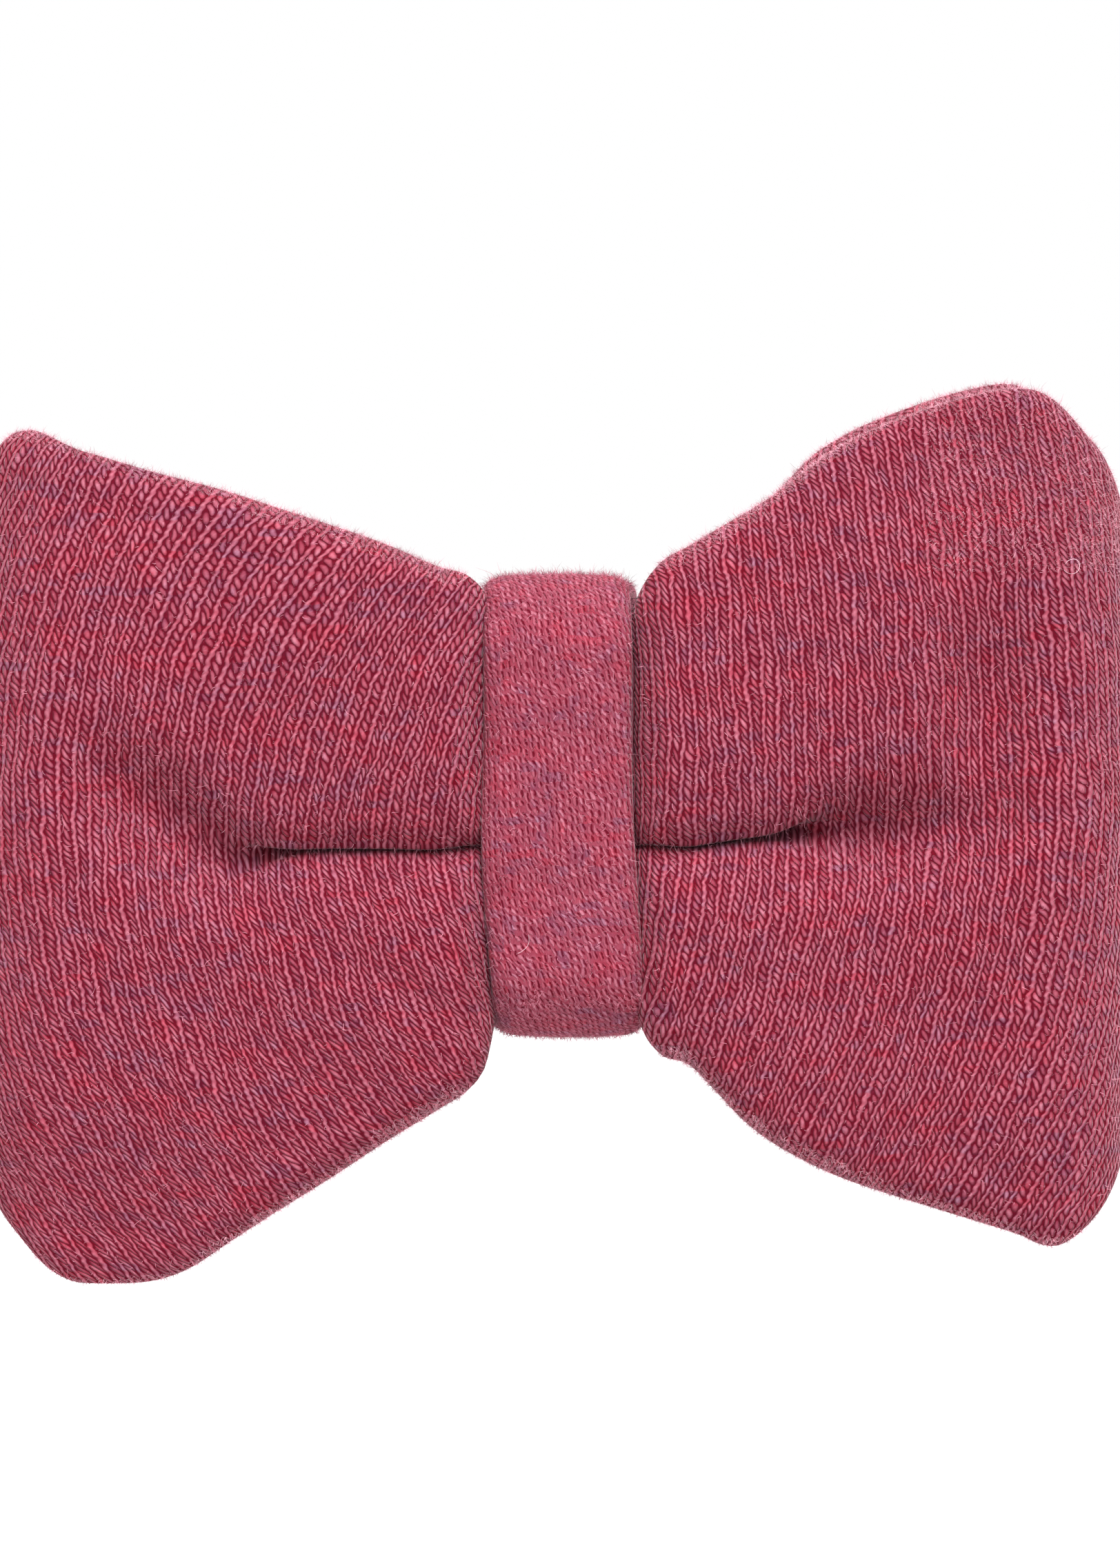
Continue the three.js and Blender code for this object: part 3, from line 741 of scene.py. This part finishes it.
def band_path():
    """Points and outward directions round the knot as rows of (y, z, outward y, outward z), from one side of
    the seam at its back to the other, going down first."""
    front_y, front_z = BAND_FRONT_RADIUS - BAND_FRONT, BAND_HALF_HEIGHT - BAND_FRONT_RADIUS
    back_y, back_z = BAND_BACK - BAND_BACK_RADIUS, BAND_HALF_HEIGHT - BAND_BACK_RADIUS
    rows = [(BAND_BACK, SEAM_HEIGHT - SEAM_GAP / 2, 1.0, 0.0)]

    def straight(end, turn, count):
        a = math.radians(turn)
        for y, z in line(rows[-1][:2], end, count)[1:]:
            rows.append((y, z, math.cos(a), math.sin(a)))

    def corner(y, z, radius, turn, count):
        for a in np.radians(np.linspace(turn, turn - 90, count)[1:]):
            rows.append((y + radius * math.cos(a), z + radius * math.sin(a), math.cos(a), math.sin(a)))

    straight((BAND_BACK, -back_z), 0, 6)
    corner(back_y, -back_z, BAND_BACK_RADIUS, 0, 12)
    straight((front_y, -BAND_HALF_HEIGHT), -90, 12)
    corner(front_y, -front_z, BAND_FRONT_RADIUS, -90, 18)
    straight((-BAND_FRONT, front_z), -180, 34)
    corner(front_y, front_z, BAND_FRONT_RADIUS, -180, 18)
    straight((back_y, BAND_HALF_HEIGHT), -270, 12)
    corner(back_y, back_z, BAND_BACK_RADIUS, -270, 12)
    straight((BAND_BACK, SEAM_HEIGHT + SEAM_GAP / 2), -360, 30)
    return rows


def band_mesh():
    """The band's rings along its path, with crowned faces and folded sides."""
    rings, uvs, seam_uvs = [], [], []
    path = band_path()
    runs = lengths(np.array(path)[:, :2])
    half_thick = BAND_THICKNESS / 2
    for (y, z, out_y, out_z), run in zip(path, runs):
        front = ramp(-y, 2, 12)
        left, right = band_edge(z) * front + np.array([-1, 1]) * BAND_BACK_HALF_WIDTH * (1 - front)
        xs = np.linspace(left + BAND_FOLD, right - BAND_FOLD, BAND_POINTS)
        share = (xs - left) / (right - left)
        outer = np.stack([xs, -BAND_CROWN * (2 * share - 1) ** 2], 1)
        fold_z, radii = -half_thick - BAND_CROWN, (BAND_FOLD, half_thick)
        right_fold = arc((right - BAND_FOLD, fold_z), radii, 90, -90, 15)
        left_fold = arc((left + BAND_FOLD, fold_z), radii, 270, 90, 15)
        snug = BAND_SNUG * ramp(y, 0, BAND_BACK) * ramp(abs(z), 5, 8)
        inner = np.stack([xs[::-1], np.full(BAND_POINTS, -BAND_THICKNESS - BAND_CROWN - snug)], 1)
        section = np.concatenate([outer, right_fold[1:-1], inner, left_fold[1:-1]])
        dimple = 0.12 * math.sin(z * 0.9 + 1.0) * math.sin(z * 0.31)
        out = section[:, 1] + np.where(section[:, 1] > -half_thick, dimple, 0)
        rings.append(np.stack([section[:, 0], y + out * out_y, z + out * out_z], 1))
        s = lengths(np.concatenate([section, section[:1]]))
        uvs.append(np.stack([s[:-1], np.full(len(section), run)], 1))
        seam_uvs.append((s[-1], run))
    return rings, uvs, 0, seam_uvs


knot = grid_object("knot_wrap", *band_mesh(), jersey("melange_jersey_knot", knot=True))
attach(knot, "bow")
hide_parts("knot_band", "knot_lining")

# ---- Loose fibres --------------------------------------------------------------------------------


def fibres(name, source, count, reach, width, material, keep):
    """Short thin fibres that stand out of a piece, as its brushed yarn sheds them.

    Sizes are in millimetres. keep says from the middles and normals of the faces where fibres grow."""
    mesh = source.data
    mesh.calc_loop_triangles()
    corners = np.empty(len(mesh.loop_triangles) * 3, int)
    mesh.loop_triangles.foreach_get("vertices", corners)
    places = np.empty(len(mesh.vertices) * 3)
    mesh.vertices.foreach_get("co", places)
    tri = places.reshape(-1, 3)[corners.reshape(-1, 3)] / MM
    cross = np.cross(tri[:, 1] - tri[:, 0], tri[:, 2] - tri[:, 0])
    area = np.linalg.norm(cross, axis=1) * keep(tri.mean(1), unit(cross))
    chosen = rng.choice(len(tri), count, p=area / area.sum())
    share = rng.random((count, 2))
    share = np.where(share.sum(1, keepdims=True) > 1, 1 - share, share)
    a, b, c = tri[chosen].transpose(1, 0, 2)
    root = a + share[:, :1] * (b - a) + share[:, 1:] * (c - a)
    normal = unit(cross[chosen])
    aside = unit(np.cross(normal, rng.normal(size=normal.shape)))
    rise = rng.uniform(0.15, 1.0, (count, 1))
    first = unit(normal * rise + aside * (1.1 - rise * 0.7))
    second = unit(first + 0.66 * rng.normal(size=first.shape) + 0.3 * normal)
    length = reach * np.exp(rng.normal(0, 0.35, (count, 1)))
    start = root - 0.06 * normal
    bend = start + first * length * 0.5
    tip = bend + second * length * 0.5
    flat = unit(np.cross(first, rng.normal(size=first.shape))) * width / 2
    points = [start - flat, start + flat, bend - 0.8 * flat, bend + 0.8 * flat, tip]
    points = np.stack(points, 1).reshape(-1, 3) * MM
    at = np.arange(count) * 5
    quads = np.stack([at, at + 1, at + 3, at + 2], 1).tolist()
    tips = np.stack([at + 2, at + 3, at + 4], 1).tolist()
    made = bpy.data.meshes.new(name)
    made.from_pydata(points.tolist(), [], quads + tips)
    thing = show(name, made, material)
    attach(thing, "bow")


def on_front(p, n):
    return (p[:, 1] < -11) & (np.abs(p[:, 0]) > 6)


def on_rims(p, n):
    return (np.abs(n[:, 2]) > 0.6) & (np.abs(p[:, 0]) > 7) & (np.abs(p[:, 2]) > 14) & (n[:, 1] < 0.5)


def on_ends(p, n):
    return (np.abs(n[:, 0]) > 0.8) & (np.abs(p[:, 0]) > 36)


def on_top_right(p, n):
    return (p[:, 0] > 26) & (p[:, 2] > 17) & (n[:, 1] < -0.1)


def on_back(p, n):
    return (n[:, 1] > 0.3) & (p[:, 1] > -6) & (np.abs(p[:, 0]) > 6)


def on_knot_face(p, n):
    return (p[:, 1] < 2) & (n[:, 1] < -0.6)


def on_knot_ends(p, n):
    return (np.abs(p[:, 2]) > 13.5) & (p[:, 1] < -4) & (np.abs(n[:, 2]) > 0.15)


fuzz = fibre_material("jersey_fibre", (0.50, 0.20, 0.26))
knot_fibre = fibre_material("knot_fibre", (0.40, 0.13, 0.18))
# The fuzz on the rims, the wings' ends and the top-right corner is real, but its paler colour is painted
# light where those places catch it.
rim_light_fibre = fibre_material("painted_rim_light_fibre", (0.62, 0.33, 0.39))
fibres("bow_fuzz", bow, 26000, 0.50, 0.030, fuzz, on_front)
fibres("bow_rim_fuzz", bow, 38000, 0.44, 0.026, rim_light_fibre, on_rims)
fibres("bow_end_fuzz", bow, 2000, 0.50, 0.028, rim_light_fibre, on_ends)
fibres("bow_corner_fuzz", bow, 12000, 0.40, 0.022, rim_light_fibre, on_top_right)
fibres("bow_back_fuzz", bow, 7000, 0.50, 0.030, fuzz, on_back)
fibres("knot_fuzz", knot, 6000, 0.45, 0.026, fuzz, on_knot_face)
fibres("knot_end_fuzz", knot, 11000, 0.55, 0.026, knot_fibre, on_knot_ends)

# ---- Stray hairs ---------------------------------------------------------------------------------


def hair(name, source, start, turn, length, curl, material):
    """A long loose hair that lies on the front of a piece. Sizes are in millimetres and angles in degrees."""
    points, x, z, angle = [], start[0], start[1], math.radians(turn)
    steps = 30
    for i in range(steps):
        hit, place = source.ray_cast(Vector((x * MM, -0.1, z * MM)), Vector((0, 1, 0)))[:2]
        if hit:
            lift = 0.12 + 0.25 * math.sin(math.pi * i / (steps - 1))
            points.append((x, place.y / MM - lift, z))
        angle += math.radians(curl) / steps + rng.normal(0, 0.06)
        x += math.cos(angle) * length / steps
        z += math.sin(angle) * length / steps
    thing = tube(name, points, HAIR_RADIUS, 5, material)
    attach(thing, "bow")


bpy.context.view_layer.update()
pale_hair = fibre_material("pale_hair", (0.62, 0.40, 0.45))
hair("hair_curl", bow, (36.4, 17.2), -60, 3.2, 300, pale_hair)
hair("hair_knot_low", knot, (-3.2, -10.6), 15, 1.8, 60, pale_hair)

# ---- Whip stitches behind the knot ---------------------------------------------------------------

stitch_points = []
stitch_pitch = STITCH_RUN / (STITCH_COUNT - 1)
under_y = BAND_BACK - 0.35
for i in range(STITCH_COUNT):
    x = i * stitch_pitch - STITCH_RUN / 2
    for t in np.linspace(0, 1, 9):
        y = under_y + 0.62 * math.sin(math.pi * t) ** 0.6
        stitch_points.append((x + STITCH_LEAN * t, y, SEAM_HEIGHT + STITCH_HALF_HEIGHT * (2 * t - 1)))
    if i == STITCH_COUNT - 1:
        break
    for t in np.linspace(0, 1, 7)[1:-1]:
        back_x = x + STITCH_LEAN + (stitch_pitch - STITCH_LEAN) * t
        y = under_y - 0.35 * math.sin(math.pi * t)
        stitch_points.append((back_x, y, SEAM_HEIGHT + STITCH_HALF_HEIGHT * (1 - 2 * t)))
sewing_thread = thread_material("sewing_thread", (0.30, 0.05, 0.09))
stitches = tube("knot_whip_stitches", stitch_points, THREAD_RADIUS, 10, sewing_thread)
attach(stitches, "bow")
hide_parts("knot_thread")

# ---- Clip ----------------------------------------------------------------------------------------

plate_steel = steel("nickel_plate", (0.50, 0.485, 0.46), 0.22, 0.36, 0)
pin_steel = steel("pin_steel", (0.55, 0.54, 0.53), 0.18, 0.30, 2)
spring_steel = steel("spring_wire", (0.50, 0.49, 0.48), 0.20, 0.34, 0)
for node, material, width in (
    ("clip_base", plate_steel, 0.12),
    ("clip_lever", plate_steel, 0.12),
    ("clip_pin", pin_steel, 0.08),
):
    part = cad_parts[node]
    part.data.materials.clear()
    part.data.materials.append(material)
    weld = part.modifiers.new("weld", "WELD")
    weld.merge_threshold = 0.002 * MM
    bevel = part.modifiers.new("bevel", "BEVEL")
    bevel.width = width * MM
    bevel.segments = 3
    bevel.limit_method = "ANGLE"
    bevel.angle_limit = math.radians(35)

pin_low, pin_high = (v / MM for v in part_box("clip_pin"))
spring_low, spring_high = (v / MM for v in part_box("clip_spring"))
hinge_x, hinge_y = (pin_low.x + pin_high.x) / 2, (pin_low.y + pin_high.y) / 2
coil = hinge_x - spring_low.x - WIRE_RADIUS
reach_x, half_z = spring_high.x - WIRE_RADIUS / 2, spring_high.z - WIRE_RADIUS
foot_y, head_y = spring_low.y + WIRE_RADIUS, spring_high.y - WIRE_RADIUS
coil_low_y, coil_high_y = hinge_y - coil, hinge_y + coil
leg = reach_x - hinge_x

spring_points = []
for x in np.linspace(reach_x, hinge_x, 12)[:-1]:
    spring_points.append((x, foot_y + (coil_low_y - foot_y) * ramp(reach_x - x, 0, leg), -half_z))
coil_steps = int(SPRING_TURNS * SPRING_STEPS)
for i in range(coil_steps + 1):
    angle = -math.pi / 2 - 2 * math.pi * i / SPRING_STEPS
    x, y = hinge_x + coil * math.cos(angle), hinge_y + coil * math.sin(angle)
    spring_points.append((x, y, half_z * (2 * i / coil_steps - 1)))
for x in np.linspace(hinge_x, reach_x, 14)[1:]:
    y = coil_high_y + (head_y - coil_high_y) * ((x - hinge_x) / leg) ** 1.3
    spring_points.append((x, y, half_z))
spring = tube("torsion_spring", spring_points, WIRE_RADIUS, 14, spring_steel)
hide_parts("clip_spring")
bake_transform(spring)

# ---- Stage, light and camera ---------------------------------------------------------------------

FLOOR_HALF, FLOOR_BELOW = 3.0, 0.045
FRAME_HEIGHT, FRONT = 0.1137, -0.0165  # what the picture shows, and where, in metres
VIEW_X, VIEW_Z = -0.00015, 0.00165

floor_z = cover_low.z * MM - FLOOR_BELOW
floor_corners = [(x * FLOOR_HALF, y * FLOOR_HALF, floor_z) for x, y in ((-1, -1), (1, -1), (1, 1), (-1, 1))]
floor_mesh = bpy.data.meshes.new("floor")
floor_mesh.from_pydata(floor_corners, [], [(0, 1, 2, 3)])
floor_mesh.materials.append(plain_material("pale_floor", (0.60, 0.60, 0.60)))
floor = bpy.data.objects.new("floor", floor_mesh)
bpy.context.scene.collection.objects.link(floor)

world = bpy.data.worlds.new("studio")
bpy.context.scene.world = world
world.use_nodes = True
world.node_tree.nodes["Background"].inputs[0].default_value = (1, 1, 1, 1)
world.node_tree.nodes["Background"].inputs[1].default_value = 1.0
bpy.context.scene.view_settings.view_transform = "Standard"


def soft_light(name, azimuth, elevation, strength, spread):
    """A far, broad light. Azimuth 0 is in front and 90 on the right, in degrees."""
    light = bpy.data.lights.new(name, "SUN")
    light.energy = strength
    light.angle = math.radians(spread)
    a, e = math.radians(azimuth), math.radians(elevation)
    towards = Vector((math.sin(a) * math.cos(e), -math.cos(a) * math.cos(e), math.sin(e)))
    made = bpy.data.objects.new(name, light)
    made.rotation_euler = towards.to_track_quat("Z", "Y").to_euler()
    bpy.context.scene.collection.objects.link(made)


soft_light("key", 14, 56, 4.7, 30)
soft_light("rear", 200, 55, 1.6, 50)

camera = bpy.data.cameras.new("camera")
camera.lens = 150
camera.clip_start = 0.01
distance = camera.lens / camera.sensor_width * FRAME_HEIGHT
camera_object = bpy.data.objects.new("camera", camera)
camera_object.location = (VIEW_X, FRONT - distance, VIEW_Z)
camera_object.rotation_euler = (math.pi / 2, 0, 0)
bpy.context.scene.collection.objects.link(camera_object)
bpy.context.scene.camera = camera_object
